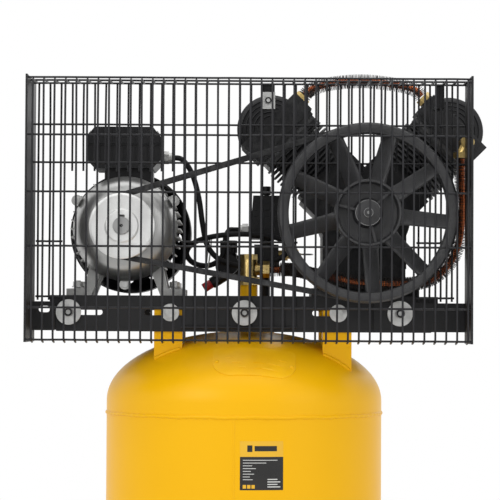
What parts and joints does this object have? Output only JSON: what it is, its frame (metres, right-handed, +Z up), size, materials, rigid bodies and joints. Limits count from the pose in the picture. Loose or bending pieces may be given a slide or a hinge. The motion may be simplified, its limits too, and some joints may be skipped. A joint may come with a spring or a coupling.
{
  "type": "vertical tank compressor",
  "caption": "Belt-driven V-twin piston air compressor with its motor on a deck over an upright air receiver, behind a wire belt guard, on feet and transport wheels.",
  "frame": {"origin": "on the floor under the middle of the object's box", "axes": "+Z up along the tank; the belt guard faces -Y and the controls face +Y; +X runs from the motor to the pump"},
  "size_m": [0.6594, 0.497, 1.326],
  "materials": {
    "tank_paint": "gloss powder coat",
    "label_film": "printed film",
    "rubber": "matte",
    "belt_rubber": "matte cloth faced",
    "black_paint": "satin powder coat",
    "black_plastic": "moulded",
    "brass": "turned",
    "zinc_steel": "zinc plated",
    "steel": "machined",
    "aluminium": "cast",
    "copper": "drawn copper",
    "cast_iron": "painted casting",
    "red_plastic": "moulded",
    "gauge_case": "moulded case with a pale dial"
  },
  "bodies": {
    "root": {"tank_shell": "tank_paint", "tank_brackets": "tank_paint", "rating_plate": "tank_paint", "tank_label": "label_film", "stand_legs": "tank_paint", "rubber_feet": "rubber", "wheel_forks": "tank_paint", "push_handle": "black_paint", "handle_grips": "rubber", "drain_cock": "brass", "platform": "black_paint", "mounting_bolts": "zinc_steel", "guard_front_mesh": "black_paint", "guard_top_mesh": "black_paint", "guard_rear_top": "black_paint", "guard_rear_lower": "black_paint", "guard_side_strips": "black_paint", "guard_brackets": "black_paint", "motor_stator": "aluminium", "motor_windings": "copper", "motor_front_bell": "aluminium", "motor_rear_bell": "aluminium", "motor_fan_cover": "black_paint", "bearings": "steel", "terminal_box": "black_plastic", "terminal_box_lid": "black_plastic", "cable_glands": "zinc_steel", "motor_bolts": "zinc_steel", "v_belt": "belt_rubber", "crankcase": "cast_iron", "crankcase_covers": "cast_iron", "connecting_rods": "aluminium", "pistons": "aluminium", "cylinders": "cast_iron", "valve_plates": "steel", "cylinder_heads": "cast_iron", "air_filters": "black_plastic", "intercooler": "copper", "discharge_tube": "copper", "tube_fittings": "brass", "pressure_switch": "black_plastic", "regulator": "black_plastic", "gauges": "gauge_case", "safety_valve": "brass", "outlet_cock": "black_plastic", "motor_cable": "rubber"},
    "flywheel": {"flywheel": "cast_iron", "crankshaft": "steel"},
    "rotor": {"motor_shaft": "steel", "motor_fan": "black_plastic", "motor_pulley": "steel"},
    "wheel_left": {"wheel_left": "rubber"},
    "wheel_right": {"wheel_right": "rubber"},
    "switch_knob": {"switch_knob": "red_plastic"},
    "regulator_knob": {"regulator_knob": "black_plastic"},
    "tank_needle": {"tank_needle": "red_plastic"},
    "line_needle": {"line_needle": "red_plastic"},
    "safety_ring": {"safety_ring": "zinc_steel"},
    "cock_lever": {"cock_lever": "red_plastic"},
    "drain_handle": {"drain_handle": "zinc_steel"}
  },
  "joints": [
    {"name": "flywheel_spin", "type": "hinge", "parent": "root", "child": "flywheel", "pos_m": [0.146, -0.1965, 1.116], "axis": [0, 1, 0], "continuous": true},
    {"name": "motor_spin", "type": "hinge", "parent": "root", "child": "rotor", "pos_m": [-0.197, -0.1965, 1.096], "axis": [0, 1, 0], "continuous": true},
    {"name": "wheel_left_spin", "type": "hinge", "parent": "root", "child": "wheel_left", "pos_m": [-0.1935, 0.1585, 0.09], "axis": [1, 0, 0], "continuous": true},
    {"name": "wheel_right_spin", "type": "hinge", "parent": "root", "child": "wheel_right", "pos_m": [0.1425, 0.1585, 0.09], "axis": [1, 0, 0], "continuous": true},
    {"name": "switch_knob_pull", "type": "slide", "parent": "root", "child": "switch_knob", "axis": [0, 0, 1], "range_m": [0, 0.006]},
    {"name": "regulator_knob_turn", "type": "hinge", "parent": "root", "child": "regulator_knob", "pos_m": [-0.0495, 0.0155, 1.075], "axis": [0, 0, 1], "range_deg": [-540, 540]},
    {"name": "tank_needle_turn", "type": "hinge", "parent": "root", "child": "tank_needle", "pos_m": [0.0065, 0.0485, 1.056], "axis": [0, -1, 0], "range_deg": [0, 270]},
    {"name": "line_needle_turn", "type": "hinge", "parent": "root", "child": "line_needle", "pos_m": [-0.0495, 0.0465, 1.048], "axis": [0, -1, 0], "range_deg": [0, 270]},
    {"name": "safety_ring_pull", "type": "slide", "parent": "root", "child": "safety_ring", "axis": [1, 0, 0], "range_m": [0, 0.004], "stiffness_N_per_m": 400},
    {"name": "cock_lever_turn", "type": "hinge", "parent": "root", "child": "cock_lever", "pos_m": [-0.06076, 0.0335, 1.02846], "axis": [0, 1, 0], "range_deg": [0, 90]},
    {"name": "drain_handle_turn", "type": "hinge", "parent": "root", "child": "drain_handle", "pos_m": [-0.0255, -0.0465, 0.05], "axis": [0, 0, 1], "range_deg": [0, 360]}
  ],
  "couplings": [
    {"joint": "motor_spin", "follows": "flywheel_spin", "ratio": 2.8605}
  ]
}
